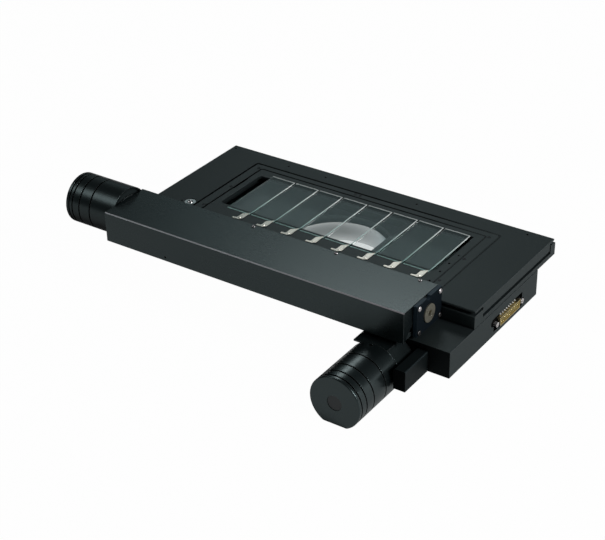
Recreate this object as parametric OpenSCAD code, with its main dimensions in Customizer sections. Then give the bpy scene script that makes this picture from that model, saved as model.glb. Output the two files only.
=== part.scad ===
// Motorised XY stage that carries eight glass slides over the light path of an inverted microscope.
// Millimetres. +X runs right along the long travel, +Y to the back and +Z up.
// The origin is the optical axis on the underside of the base.
// The lower plate rides on the base along Y, and the stage plate rides on the lower plate along X.

/* [Base] */
// Height of the base
base_h = 25.7; // [24:0.1:30]
// Left end of the base, from the optical axis
base_left = 178; // [170:1:179]
// Right end of the base, from the optical axis
base_right = 181.5; // [175:0.5:190]
// Front face of the base, from the optical axis
base_front = 75.5; // [74:0.5:80]
// Back face of the base, from the optical axis
base_back = 56.7; // [56:0.1:70]
// Left side of the arm that carries the Y drive
arm_left = 97.5; // [97:0.5:99]
// Front face of the arm
arm_front = 103.8; // [100:0.1:106]
// Radius of the aperture at the top of the base
aperture_r = 53.4; // [50.5:0.1:54]
// Depth of the upper ring of the aperture
aperture_step = 5.7; // [4:0.1:8]
// Radius of the aperture below the step
aperture_low_r = 50; // [45:0.5:50]
// Spacing along X of the bolts that hold the base
bolt_x = 150; // [148:1:156]
// Spacing along Y of the bolts that hold the base
bolt_y = 90; // [86:1:94]
// Radius of a bolt hole
bolt_r = 3.3; // [2.7:0.1:3.5]
// Radius of the counterbore for a bolt head
bolt_head_r = 5.6; // [5:0.1:5.8]
// Depth of the counterbore
bolt_head_h = 7; // [6:0.5:9]

/* [Plates] */
// Length of the lower plate and the stage plate
plate_len = 362.5; // [356:0.5:364]
// Front face of the lower plate, from the optical axis
carriage_front = 61.5; // [61:0.1:63]
// Back face of the lower plate, from the optical axis
carriage_back = 90.9; // [88:0.1:96]
// Gap between the base and the lower plate
base_gap = 0.3; // [0.2:0.1:0.6]
// Thickness of the lower plate's floor
floor_t = 4.3; // [4:0.1:6]
// Width of the raised land along the front of the lower plate
land_front_w = 14.3; // [12:0.1:16]
// Width of the raised land along the back of the lower plate
land_back_w = 8.9; // [6:0.1:10]
// Gap between a land and the lip of the stage plate above it
lip_gap = 3.1; // [3:0.1:3.6]
// Height of the slot between the two plates
slot_h = 4; // [3.6:0.1:5]
// Thickness of the stage plate
stage_t = 9.4; // [9:0.1:11]
// Thickness of the stage plate's lips
lip_t = 2; // [1.6:0.1:2.4]
// Back edge of the stage plate, from the optical axis
stage_back = 87.9; // [86:0.1:88.5]
// Gap between the stage plate and the drive bar
stage_clear = 0.6; // [0.4:0.1:1.2]
// Gap between the front land and the thick middle of the stage plate
side_gap_front = 0.3; // [0.3:0.1:0.8]
// Gap between the back land and the thick middle of the stage plate
side_gap_back = 2.5; // [1:0.1:3]
// Half width of the light window in the lower plate
window_x = 40; // [30:0.5:44]
// Front edge of that window, from the optical axis
window_front = 36; // [30:0.5:37]
// Back edge of that window, from the optical axis
window_back = 70; // [60:0.5:71]

/* [Crossed roller ways] */
// Length of each X rail
x_rail_len = 344; // [330:1:350]
// Width of an X rail
x_rail_w = 3.95; // [3.6:0.05:4.2]
// Diameter of the X rollers
x_roller_d = 1.5; // [1:0.1:1.6]
// Spacing of the X rollers
x_roller_pitch = 5; // [4:0.5:8]
// Length of the X cages
x_cage_len = 228; // [200:1:228]
// Length of each fixed Y rail
y_rail_len = 122; // [118:1:126]
// Length of each moving Y rail
y_mover_len = 130; // [124:1:134]
// Width of a Y rail
y_rail_w = 5.7; // [5:0.1:6]
// Height of a Y rail
y_rail_h = 5.6; // [5:0.1:6.5]
// Distance of the Y ways from the optical axis
y_way_x = 90; // [88:0.5:90]
// Diameter of the Y rollers
y_roller_d = 2; // [1.5:0.1:2.2]
// Spacing of the Y rollers
y_roller_pitch = 5; // [4:0.5:8]
// Length of the Y cages
y_cage_len = 80; // [70:1:81]
// Gap between the two rails of a way
rail_gap = 0.6; // [0.5:0.05:0.8]
// Clearance between a roller and its groove
roller_clear = 0.03; // [0.01:0.01:0.06]

/* [Drive screws] */
// Travel of the stage plate to each side
x_travel = 114.5; // [80:0.5:114.5]
// Travel of the lower plate to the front
y_travel_front = 50.5; // [30:0.5:50.5]
// Travel of the lower plate to the back
y_travel_back = 25.5; // [10:0.5:25.5]
// Diameter of the X drive screw
x_screw_d = 8; // [6:0.5:8]
// Diameter of the Y drive screw
y_screw_d = 5; // [4:0.5:5.5]
// Running clearance around a screw, as a radius
screw_clear = 0.05; // [0.02:0.01:0.1]
// Height of the X screw above the bar's underside
x_axis_up = 14.9; // [14.3:0.1:15.5]
// Distance of the X screw in front of the optical axis
x_axis_front = 83; // [82.5:0.1:84]
// Height of the Y screw above the underside of the base
y_axis_z = 3.5; // [3.4:0.1:4.1]
// Distance of the Y screw to the right of the optical axis
y_axis_x = 122.6; // [120:0.1:124]
// Length of the X nut
x_nut_len = 20; // [14:1:20]
// Length of the Y nut
y_nut_len = 20; // [14:1:20]
// Width of the Y nut
y_nut_w = 10; // [8:0.5:10]

/* [Drive bar] */
// Length of the bar's cover
bar_len = 325.6; // [320:0.1:328]
// Width of the bar, front to back
bar_w = 55.5; // [54:0.1:58]
// Height of the bar
bar_h = 30.3; // [30:0.1:32]
// Gap between the base and the bar
bar_gap = 2.8; // [2.7:0.1:4]
// Thickness of the folded cover
cover_t = 1.5; // [1:0.1:2]
// Bevel along the cover's front top edge
cover_bevel = 0.8; // [0.4:0.1:1.2]
// Thickness of the housing's floor
bar_floor_t = 4; // [3:0.1:4.5]
// Thickness of the housing's back wall
bar_wall_t = 5; // [4:0.1:6]
// Width of the flange at the cover's right end
flange_w = 16; // [14:0.5:17]
// Thickness of the end plate
end_plate_t = 3.8; // [3:0.1:5]
// Width of the end plate
end_plate_w = 41; // [38:0.5:41]
// Diameter of the bearing cap
cap_d = 17; // [16:0.5:20]

/* [Motors] */
// Radius of a motor cover
motor_cover_r = 24.7; // [24:0.1:25]
// Wall of a motor cover
motor_cover_t = 1.8; // [1.5:0.1:2]
// Distance from a motor's axis to the flat side of its cover
motor_cover_flat = 21.2; // [20.2:0.1:22]
// Length of the X motor's cover
x_cover_len = 59; // [54:0.5:60]
// Length of the Y motor's cover
y_cover_len = 61; // [58:0.5:62]
// Rounding of a cover's closed end
motor_cover_round = 1.2; // [0.8:0.1:3]
// Width of a ring groove
ring_w = 1.4; // [0.5:0.1:1.6]
// Depth of a ring groove
ring_depth = 1; // [0.4:0.1:1.1]
// Side of the motor
motor_w = 35.2; // [34:0.1:35.5]
// Length of the motor's body
motor_len = 40; // [30:1:46]
// Radius of the round badge in a cover's end
badge_r = 7; // [4:0.5:8]

/* [Y drive] */
// Height of the folded sheet over the Y coupling
sheet_z = 25; // [24.5:0.1:25]
// Thickness of that sheet
sheet_t = 1.5; // [1:0.1:1.8]
// Left edge of the sheet
sheet_left = 102; // [101:0.5:103]
// Where the sheet folds down on the right
sheet_fold = 135.6; // [135:0.1:136]
// Right side of the bracket
bracket_right = 160.7; // [160:0.1:165]
// Thickness of the bracket's right wall
bracket_wall_t = 11.5; // [10:0.1:12]
// Height of the bracket's right wall
bracket_h = 19.8; // [18:0.1:21]
// Front face of the bracket's right wall
bracket_front = 141; // [138:0.5:144]

/* [Connector] */
// Distance between the jack screws of the 25-way connector
jack_spacing = 47.04; // [47.04:0.01:47.04]
// Width of the connector's shell
shell_w = 38.96; // [38:0.01:39]
// Height of the connector's shell
shell_h = 8.36; // [8:0.01:8.4]
// Depth of the recess that holds the connector
recess_depth = 2.6; // [2:0.1:3]
// Bottom of the recess, above the underside of the base
recess_low = 3.6; // [3:0.1:4]
// Top of the recess, above the underside of the base
recess_high = 18; // [17.5:0.5:19]
// Middle of the connector, behind the optical axis
connector_y = 4.5; // [4:0.5:6]
// Height of the connector's middle
connector_z = 8.1; // [8:0.1:8.4]

/* [Slides] */
// Width of a glass slide
slide_w = 26; // [25:0.5:26]
// Length of a glass slide
slide_l = 76; // [75:0.5:76]
// Thickness of a glass slide
slide_t = 1; // [0.9:0.1:1.2]
// Spacing of the slides
slide_pitch = 28; // [27.6:0.1:28.4]
// Left edge of the first slide, from the optical axis
slide_left = 107.5; // [107:0.1:108]
// Front edge of the slides, from the optical axis
slide_front = 25.5; // [25:0.1:26]
// Height of the glass above the holder's top
slide_proud = 0.3; // [0.2:0.05:0.5]
// Clearance around a slide in its pocket
slide_clear = 0.3; // [0.2:0.05:0.6]

/* [Slide holder] */
// Half length of the frame that is screwed to the stage plate
frame_x = 138; // [136:0.5:140]
// Front edge of the frame, from the optical axis
frame_front = 45.8; // [45.4:0.1:46]
// Back edge of the frame, from the optical axis
frame_back = 66; // [65.5:0.1:67]
// Thickness of the frame and the holder
holder_t = 3; // [2.6:0.1:3.2]
// Half length of the holder
holder_x = 127.3; // [126.5:0.1:128]
// Front edge of the holder, from the optical axis
holder_front = 43.4; // [43:0.1:43.6]
// Back edge of the holder, from the optical axis
holder_back = 58; // [57.5:0.1:59]
// Clearance between the holder and the frame
holder_clear = 0.3; // [0.2:0.05:0.5]
// Corner radius of the frame
frame_r = 5; // [3:0.5:6]
// Corner radius of the holder
holder_r = 3; // [2:0.5:4]
// Width of the ledge under each end of a slide
ledge_w = 5; // [4:0.5:6]
// Left edge of the holder's window
light_left = 120; // [118:0.5:121]
// Right edge of the holder's window
light_right = 118.5; // [117:0.5:120]

/* [Clips] */
// Width of a clip's finger
clip_w = 5.8; // [5:0.1:6]
// Thickness of the clip's strip
clip_t = 0.4; // [0.3:0.05:0.5]
// Length of the finger from its pivot
clip_finger = 12.6; // [11.5:0.1:13]
// Length of the tail from its pivot
clip_tail = 7; // [6:0.1:8]
// Gap between the strip and what lies above or below it
clip_clear = 0.05; // [0.03:0.01:0.1]

/* [Hidden] */

// Faces on a full turn of a large and a small round part
fine = 96;
small = 32;
// How far a cut runs past the face it opens
over = 1;
// How deep the bevel on a machined edge is
edge = 0.6;

// Heights of the stack, from the underside of the base
carriage_z = base_h + base_gap;
floor_z = carriage_z + floor_t;
stage_z = floor_z + slot_h;
stage_top = stage_z + stage_t;
lip_z = stage_top - lip_t;
land_z = lip_z - lip_gap;
pocket_z = stage_top - holder_t;
glass_z = stage_top + slide_proud - slide_t;
bar_z = base_h + bar_gap;
bar_top = bar_z + bar_h;
x_axis_z = bar_z + x_axis_up;

// Edges of the plates
plate_x = plate_len / 2;
stage_front = carriage_front - stage_clear;
land_front_y = -carriage_front + land_front_w;
land_back_y = carriage_back - land_back_w;
thick_front_y = land_front_y + side_gap_front;
thick_back_y = land_back_y - side_gap_back;

// The stage plate's window leaves a ledge all round for the holder
stage_ledge = 3.3;
stage_window_x = holder_x - stage_ledge;
stage_window_front = slide_front + ledge_w;
stage_window_back = holder_back - stage_ledge;

// X ways, in the slot between the plates
x_rail_clear = 0.2;
x_rail_h = slot_h - x_rail_clear;
x_rail_mid_z = floor_z + slot_h / 2;
x_way_front_y = land_front_y + x_rail_w + rail_gap / 2;
x_way_back_y = land_back_y - x_rail_w - rail_gap / 2;

// Y ways, in grooves of the base's top
way_floor_clear = 0.3;
y_groove_z = carriage_z - y_rail_h - way_floor_clear;
y_rail_mid_z = (y_groove_z + carriage_z) / 2;
y_way_outer_x = y_way_x + rail_gap / 2 + y_rail_w;
y_way_inner_x = y_way_x - rail_gap / 2 - y_rail_w - way_floor_clear;
base_mid_y = (base_back - base_front) / 2;
y_mover_mid_y = base_mid_y + (y_travel_front - y_travel_back) / 2;
y_cage_mid_y = (base_mid_y + y_mover_mid_y) / 2;

// A cage is a thin strip between the rails
cage_t = 0.3;
cage_margin = 0.5;
// A roller is a little shorter than it is wide, so that only its round side rolls
roller_len_share = 0.93;

// Y drive
slot_side = 1;
slot_end = 2;
screw_channel_w = y_nut_w + 2 * slot_side;
screw_channel_h = 9;
y_nut_y = -10;
y_nut_floor = 0.5;
y_nut_slot_front = y_nut_y - y_nut_len / 2 - y_travel_front - slot_end;
y_nut_slot_back = y_nut_y + y_nut_len / 2 + y_travel_back + slot_end;
rear_block_y = 36;
rear_block_len = 10;
rear_block_clear = 0.3;
y_screw_end = rear_block_y + rear_block_len;
y_rim = 128.5;
y_plate_t = 4;
y_plate_r = 22.8;
y_plate_back = y_rim - y_plate_t;
bearing_t = 4;
y_bearing_r = 6.5;
y_back_wall_t = 7;
y_back_wall_front = arm_front + y_back_wall_t;
tub_floor_z = -8;
tub_floor_t = 4;
pocket_half_left = 9;
pocket_half_right = 9.5;
pocket_left = y_axis_x - pocket_half_left;
pocket_right = y_axis_x + pocket_half_right;
left_wall_t = 6.5;
left_wall_front = 119;
wall_bevel = 1.5;
tub_right = 135;
sheet_rest_z = 13.3;
sheet_end_x = sheet_fold + sheet_z - sheet_rest_z;
sheet_clear = 0.2;
sheet_slant = sheet_t * sqrt(2);
sheet_back = arm_front + sheet_clear;
sheet_front = y_rim - sheet_clear;
coupling_end_gap = 1;
coupling_cut_share = 0.04;
coupling_cuts = 3;
y_coupling_r = 6.5;
y_coupling_front = y_plate_back - coupling_end_gap;
y_coupling_back = y_back_wall_front + coupling_end_gap;

// Motors: the cover slips over a round flange, and the motor is bolted to the flange
flange_recess = 1.5;
motor_flange_t = 4;
motor_face = flange_recess + motor_flange_t;
flange_fit = 0.2;
flange_neck_r = 17;
flange_bore_r = 9;
pilot_r = 11;
pilot_h = 2;
motor_corner_r = 22;
shaft_r = 2.5;
shaft_clear = 0.1;
shaft_depth = 8;
badge_depth = 0.9;
badge_t = 0.5;
badge_gap = 0.15;
cover_end_t = 3;
set_screw_r = 0.9;
x_ring_places = [4.2, 8.2, 17, 30];
y_ring_places = [4, 11.3, 22.4, 40.7];

// Drive bar
bar_past = 0.15;
bar_left = plate_x + bar_past;
bar_right = bar_len - bar_left;
bar_back = carriage_front;
bar_front = bar_back + bar_w;
bar_wall_top = bar_top - cover_t;
end_plate_gap = 0.5;
end_plate_x = bar_right + end_plate_gap;
end_plate_out = end_plate_x + end_plate_t;
flange_cut_share = 0.75;
left_wall_x = 4;
x_bearing_r = 8;
x_bearing_t = 5;
bearing_fit = 0.02;
bore_clear = 0.6;
left_block_x = -150;
left_block_t = 10;
nut_stop_gap = 5.5;
right_block_x = x_travel + x_nut_len / 2 + nut_stop_gap;
block_front = bar_front - flange_w - cover_t;
block_half = 16;
block_front_left = x_axis_front + block_half;
x_coupling_r = 8;
x_coupling_gap = 1.4;
x_coupling_left = -bar_left + left_wall_x + x_coupling_gap;
x_coupling_clear = 6;
x_coupling_right = left_block_x - x_coupling_clear;
x_screw_in = 8;
x_screw_left = x_coupling_right - x_screw_in;
notch_r = 3;
cap_t = 1.3;
cap_spigot_r = 7;
cap_hole_r = 2.7;
cap_pin_r = 0.9;
cap_pin_at = 5.7;
cap_pin_angle = -36;
cap_in = 0.4;
nut_arm_half = 12;
nut_slot_clear = 1;
nut_slot_half = x_travel + nut_arm_half + nut_slot_clear;
nut_arm_t = 2.4;
nut_arm_clear = 0.4;
nut_arm_in = 0.7;
nut_arm_back = land_front_y - nut_arm_in;
nut_block_half = 10;
x_nut_r = 8;
head_r = 1.7;
head_h = 0.5;
cover_screw_in = 2;
cover_hole_x = 111;
cover_hole_up = 3.9;
cover_hole_r = 1.1;
cover_screw_xs = [-47, 44, 131];
end_screw_in = 3.3;
end_screw_r = 2.3;
end_screw_h = 1;

// Connector
recess_front = 26;
recess_back = 27.5;
notch_round_r = 4.2;
notch_round_y = -27;
notch_round_z = 13.6;
shell_t = 0.6;
shell_len = 3.1;
shell_slant = 1.4;
insert_fit = 0.1;
insert_in = 1.4;
jack_r = 2.6;
jack_len = 3.1;
jack_hole_r = 1.3;
jack_clear = 0.8;

// Frame and holder
frame_bar_back = 7.7;
frame_screw_left = 130.7;
frame_screw_right = 130;
frame_screw_ys = [-32.6, 11.2, 57.9];
frame_back_screw_xs = [-18.6, -13];
frame_back_screw_y = 62.3;
frame_screw_r = 1.4;
frame_screw_h = 0.25;
notch_depth = 1.6;
notch_y0 = 10;
notch_y1 = 34;
side_hole_x = 122.7;
side_hole_ys = [13.7, -3, -19.5, -37.9];
side_hole_r = 1.2;
light_front = slide_front - ledge_w;
light_back = slide_l - slide_front - ledge_w;
light_r = 3;
fitting_x = -145.4;
fitting_y = -34.9;
fitting_r = 5.5;
fitting_h = 1.8;
fitting_down = 0.4;
plate_hole_r = 1.1;
plate_hole_depth = 4;
plate_hole_places = [[-177.1, 81.8], [-107.5, 77], [-63.1, 77], [41.6, 77], [157.3, 81], [-153.4, -37.6]];

// Clips: each turns with its rivet in a bore beside the front right corner of its slide
clip_dx = 22.5;
clip_dy = 10.6;
clip_boss_r = 1.8;
clip_pin_r = 1;
clip_pin_clear = 0.08;
clip_pin_in = 1.4;
clip_head_r = 1.3;
clip_head_h = 0.5;
clip_left_share = 0.45;
clip_slant = 5.2;
clip_heel = 0.8;
clip_tail_w = 2.2;
clip_tail_y = -2.2;
clip_z = stage_top + slide_proud + clip_clear;
clip_bore_z = stage_top - clip_pin_in - clip_clear;

// A box between two corners
module box(a, b) {
    translate(a) cube(b - a);
}

// A flat plate between two corners, with round corners
module round_plate(a, b, r) {
    box([a.x + r, a.y, a.z], [b.x - r, b.y, b.z]);
    box([a.x, a.y + r, a.z], [b.x, b.y - r, b.z]);
    for (x = [a.x + r, b.x - r], y = [a.y + r, b.y - r])
        translate([x, y, a.z]) cylinder(r = r, h = b.z - a.z, $fn = small);
}

// Lays a shape that stands on Z along +X, on the axis of the X screw
module on_x_axis(x) {
    translate([x, -x_axis_front, x_axis_z]) rotate([0, 90, 0]) children();
}

// Lays a shape that stands on Z along +Y, on the axis of the Y screw
module on_y_axis(y) {
    translate([y_axis_x, y, y_axis_z]) rotate([-90, 0, 0]) children();
}

// Lays a profile drawn in Y and Z along +X
module along_x(x0, x1) {
    translate([x0, 0, 0]) rotate([90, 0, 90]) linear_extrude(x1 - x0) children();
}

// Lays a profile drawn in X and Z along -Y from its back end
module along_y(y0, y1) {
    translate([0, y1, 0]) rotate([90, 0, 0]) linear_extrude(y1 - y0) children();
}

// Half the width of the square channel that the rollers run in, from its middle to a corner
function groove_reach(d) = (d / 2 + roller_clear) * sqrt(2);

// The V groove of a rail, a square prism on its edge along +Y at x = 0
module groove(len, z, d) {
    reach = groove_reach(d);
    along_y(-len / 2 - over, len / 2 + over)
        polygon([[-reach, z], [0, z - reach], [reach, z], [0, z + reach]]);
}

// A rail along Y between two sides, with its groove at x = 0
module rail(x0, x1, z0, z1, len, mid_z, d) {
    difference() {
        box([x0, -len / 2, z0], [x1, len / 2, z1]);
        groove(len, mid_z, d);
    }
}

// A cage strip along Y at x = 0, its rollers leaning to alternate sides
module cage(len, pitch, d, z0, z1) {
    mid = (z0 + z1) / 2;
    count = floor((len / 2 - d) / pitch);
    box([-cage_t / 2, -len / 2, z0 + cage_margin], [cage_t / 2, len / 2, z1 - cage_margin]);
    for (i = [-count : count])
        translate([0, i * pitch, mid]) rotate([0, i % 2 == 0 ? 45 : -45, 0])
            cylinder(d = d, h = d * roller_len_share, center = true, $fn = small);
}

// Where a rail of this width starts, on the right or the left of its way's middle
function rail_start(right, w) = right ? rail_gap / 2 : -rail_gap / 2 - w;

module y_fixed_rail(side) {
    x = rail_start(side > 0, y_rail_w);
    color("#b8bcbd") translate([side * y_way_x, base_mid_y, 0])
        rail(x, x + y_rail_w, y_groove_z, y_groove_z + y_rail_h, y_rail_len, y_rail_mid_z, y_roller_d);
}

module y_moving_rail(side) {
    x = rail_start(side < 0, y_rail_w);
    color("#b8bcbd") translate([side * y_way_x, y_mover_mid_y, 0])
        rail(x, x + y_rail_w, carriage_z - y_rail_h, carriage_z, y_mover_len, y_rail_mid_z, y_roller_d);
}

module y_cages() {
    color("#c9a95a") for (side = [-1, 1])
        translate([side * y_way_x, y_cage_mid_y, 0])
            cage(y_cage_len, y_roller_pitch, y_roller_d, y_groove_z, carriage_z);
}

// The X rails and cages are the same shapes turned to run along X
module x_way(y) {
    translate([0, y, 0]) rotate([0, 0, 90]) children();
}

// Side 1 is the front way: its fixed rail stands against the front land
module x_fixed_rail(side) {
    start = rail_start(side < 0, x_rail_w);
    color("#b8bcbd") x_way(side > 0 ? x_way_front_y : x_way_back_y)
        rail(start, start + x_rail_w, floor_z, floor_z + x_rail_h, x_rail_len, x_rail_mid_z, x_roller_d);
}

module x_moving_rail(side) {
    start = rail_start(side > 0, x_rail_w);
    color("#b8bcbd") x_way(side > 0 ? x_way_front_y : x_way_back_y)
        rail(start, start + x_rail_w, stage_z - x_rail_h, stage_z, x_rail_len, x_rail_mid_z, x_roller_d);
}

module x_cages() {
    color("#c9a95a") for (y = [x_way_front_y, x_way_back_y])
        x_way(y) cage(x_cage_len, x_roller_pitch, x_roller_d, floor_z, stage_z);
}

module base_plate() {
    color("#23292b") difference() {
        union() {
            box([-base_left, -base_front, 0], [base_right, base_back, base_h]);
            box([arm_left, -arm_front, 0], [base_right, -base_front, base_h]);
        }
        translate([0, 0, -over]) cylinder(r = aperture_low_r, h = base_h + 2 * over, $fn = fine);
        translate([0, 0, base_h - aperture_step])
            cylinder(r = aperture_r, h = aperture_step + over, $fn = fine);
        for (side = [-1, 1])
            box([min(side * y_way_outer_x, side * y_way_inner_x), -base_front - over, y_groove_z],
                [max(side * y_way_outer_x, side * y_way_inner_x), base_back + over, base_h + over]);
        for (x = [-bolt_x / 2, bolt_x / 2], y = [-bolt_y / 2, bolt_y / 2]) {
            translate([x, y, -over]) cylinder(r = bolt_r, h = base_h + 2 * over, $fn = small);
            translate([x, y, base_h - bolt_head_h])
                cylinder(r = bolt_head_r, h = bolt_head_h + over, $fn = small);
        }
        box([y_axis_x - screw_channel_w / 2, -arm_front - over, -over],
            [y_axis_x + screw_channel_w / 2, y_screw_end + slot_end, screw_channel_h]);
        box([y_axis_x - screw_channel_w / 2, y_nut_slot_front, -over],
            [y_axis_x + screw_channel_w / 2, y_nut_slot_back, base_h + over]);
        box([base_right - recess_depth, -recess_front, recess_low],
            [base_right + over, recess_back, recess_high]);
        translate([base_right - recess_depth, notch_round_y, notch_round_z]) rotate([0, 90, 0])
            cylinder(r = notch_round_r, h = recess_depth + over, $fn = small);
        translate([base_right - recess_depth, connector_y + jack_spacing / 2, connector_z]) rotate([0, 90, 0])
            cylinder(r = jack_r + jack_clear, h = recess_depth + over, $fn = small);
    }
}

// The lower plate: a tray whose front and back lands stand beside the ways
module carriage_plate() {
    color("#1d2325") difference() {
        along_x(-plate_x, plate_x)
            polygon([[-carriage_front, carriage_z], [carriage_back, carriage_z],
                [carriage_back, land_z - edge], [carriage_back - edge, land_z], [land_back_y, land_z],
                [land_back_y, floor_z],
                [land_front_y, floor_z], [land_front_y, land_z], [-carriage_front + edge, land_z],
                [-carriage_front, land_z - edge]]);
        round_plate([-window_x, -window_front, carriage_z - over], [window_x, window_back, floor_z + over],
            light_r);
    }
}

module y_nut() {
    color("#b08d3e") difference() {
        box([y_axis_x - y_nut_w / 2, y_nut_y - y_nut_len / 2, y_nut_floor],
            [y_axis_x + y_nut_w / 2, y_nut_y + y_nut_len / 2, carriage_z]);
        on_y_axis(y_nut_y - y_nut_len / 2 - over)
            cylinder(r = y_screw_d / 2 + screw_clear, h = y_nut_len + 2 * over, $fn = small);
    }
}

module y_leadscrew() {
    color("#c4c8c9") on_y_axis(-y_coupling_back - y_coupling_r / 2)
        cylinder(d = y_screw_d, h = y_screw_end + y_coupling_back + y_coupling_r / 2, $fn = small);
}

// A clamp coupling on a rotor shaft: two clamping ends and a slotted middle
module coupling(r, len, shaft_in, bore_r, bore_len) {
    difference() {
        union() {
            cylinder(r = r, h = len, $fn = small);
            translate([0, 0, -shaft_in]) cylinder(r = shaft_r, h = shaft_in, $fn = small);
        }
        translate([0, 0, len - bore_len]) cylinder(r = bore_r, h = bore_len + over, $fn = small);
        for (i = [1 : coupling_cuts])
            rotate([0, 0, i * 180]) translate([-r - over, shaft_r / 2, len * (i + 1) / (coupling_cuts + 3)])
                cube([2 * (r + over), r + over, len * coupling_cut_share]);
    }
}

module y_coupling() {
    color("#9ea3a4") on_y_axis(-y_coupling_front)
        coupling(y_coupling_r, y_coupling_front - y_coupling_back,
            y_rim + motor_face + shaft_depth - y_coupling_front,
            y_screw_d / 2 + bearing_fit, y_coupling_r / 2 + bearing_fit);
}

module ring(r, bore_r, h) {
    difference() {
        cylinder(r = r, h = h, $fn = small);
        translate([0, 0, -over]) cylinder(r = bore_r, h = h + 2 * over, $fn = small);
    }
}

// The front bearing sits in the bracket, and a block in the base's channel holds the screw's far end
module y_bearings() {
    color("#aeb2b3") {
        on_y_axis(-y_back_wall_front) ring(y_bearing_r, y_screw_d / 2 + screw_clear, bearing_t);
        difference() {
            box([y_axis_x - screw_channel_w / 2 + rear_block_clear, rear_block_y, rear_block_clear],
                [y_axis_x + screw_channel_w / 2 - rear_block_clear, y_screw_end, screw_channel_h]);
            on_y_axis(rear_block_y - over)
                cylinder(r = y_screw_d / 2 + screw_clear, h = rear_block_len + 2 * over, $fn = small);
        }
    }
}

// The room under the folded sheet, which the bracket's round plate keeps within
module under_sheet(y0, y1) {
    low = y_axis_z - motor_cover_flat + motor_cover_t;
    left = y_axis_x - y_plate_r;
    along_y(y0, y1)
        polygon([[left, low], [bracket_right, low], [bracket_right, sheet_rest_z],
            [sheet_end_x - sheet_slant - sheet_clear, sheet_rest_z],
            [sheet_fold + sheet_t - sheet_slant - sheet_clear, sheet_z - sheet_t],
            [left, sheet_z - sheet_t]]);
}

module y_bracket() {
    color("#262c2e") difference() {
        union() {
            intersection() {
                on_y_axis(-y_rim) cylinder(r = y_plate_r, h = y_plate_t, $fn = fine);
                under_sheet(-y_rim - over, -y_plate_back + over);
            }
            box([pocket_left - left_wall_t, -y_plate_back, tub_floor_z], [tub_right, -arm_front, 0]);
            box([pocket_left - left_wall_t, -left_wall_front, 0],
                [pocket_left, -arm_front, sheet_z - sheet_t]);
            box([pocket_left, -y_plate_back, 0], [bracket_right - bracket_wall_t, -arm_front, sheet_rest_z]);
            along_y(-bracket_front, -arm_front)
                polygon([[bracket_right - bracket_wall_t, 0], [bracket_right, 0],
                    [bracket_right, bracket_h - edge], [bracket_right - edge, bracket_h],
                    [bracket_right - bracket_wall_t + wall_bevel, bracket_h],
                    [bracket_right - bracket_wall_t, bracket_h - wall_bevel]]);
        }
        box([pocket_left, -y_plate_back, tub_floor_z + tub_floor_t],
            [pocket_right, -y_back_wall_front, sheet_rest_z + over]);
        box([pocket_left - left_wall_t - over, -y_plate_back, tub_floor_z + tub_floor_t],
            [pocket_left + over, -left_wall_front, over]);
        on_y_axis(-y_rim - over) cylinder(r = flange_bore_r, h = y_plate_t + 2 * over, $fn = small);
        on_y_axis(-y_back_wall_front) cylinder(r = y_bearing_r + bearing_fit, h = bearing_t, $fn = small);
        on_y_axis(-y_back_wall_front)
            cylinder(r = y_screw_d / 2 + bore_clear, h = y_back_wall_t + over, $fn = small);
    }
}

module y_sheet_cover() {
    color("#30373a") along_y(-sheet_front, -sheet_back)
        polygon([[sheet_left, sheet_z], [sheet_fold, sheet_z], [sheet_end_x, sheet_rest_z],
            [sheet_end_x - sheet_slant, sheet_rest_z],
            [sheet_fold + sheet_t - sheet_slant, sheet_z - sheet_t], [sheet_left, sheet_z - sheet_t]]);
}

// The motor parts stand on Z: the rim of the cover is at 0, and the closed end lies below it
module motor_flange() {
    difference() {
        union() {
            intersection() {
                translate([0, 0, -motor_face])
                    cylinder(r = motor_cover_r - motor_cover_t - flange_fit, h = motor_flange_t, $fn = fine);
                box([-motor_cover_r, -motor_cover_r, -motor_face],
                    [motor_cover_r, motor_cover_flat - motor_cover_t - flange_fit, 0]);
            }
            translate([0, 0, -motor_face]) cylinder(r = flange_neck_r, h = motor_face, $fn = fine);
        }
        translate([0, 0, -motor_face - over])
            cylinder(r = flange_bore_r, h = motor_face + 2 * over, $fn = small);
        translate([0, 0, -motor_face - over])
            cylinder(r = pilot_r + bearing_fit, h = pilot_h + over, $fn = small);
    }
}

module motor() {
    translate([0, 0, -motor_face]) difference() {
        union() {
            intersection() {
                box([-motor_w / 2, -motor_w / 2, -motor_len], [motor_w / 2, motor_w / 2, 0]);
                translate([0, 0, -motor_len]) cylinder(r = motor_corner_r, h = motor_len, $fn = fine);
            }
            cylinder(r = pilot_r, h = pilot_h, $fn = small);
        }
        translate([0, 0, -shaft_depth - over])
            cylinder(r = shaft_r + shaft_clear, h = shaft_depth + pilot_h + 2 * over, $fn = small);
    }
}

// Outer profile of a motor cover: a round corner at the closed end
function cover_profile(len) = concat([[0, -len]],
    [for (a = [-90 : 15 : 0])
        [motor_cover_r - motor_cover_round + motor_cover_round * cos(a),
            -len + motor_cover_round + motor_cover_round * sin(a)]],
    [[motor_cover_r, 0], [0, 0]]);

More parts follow.
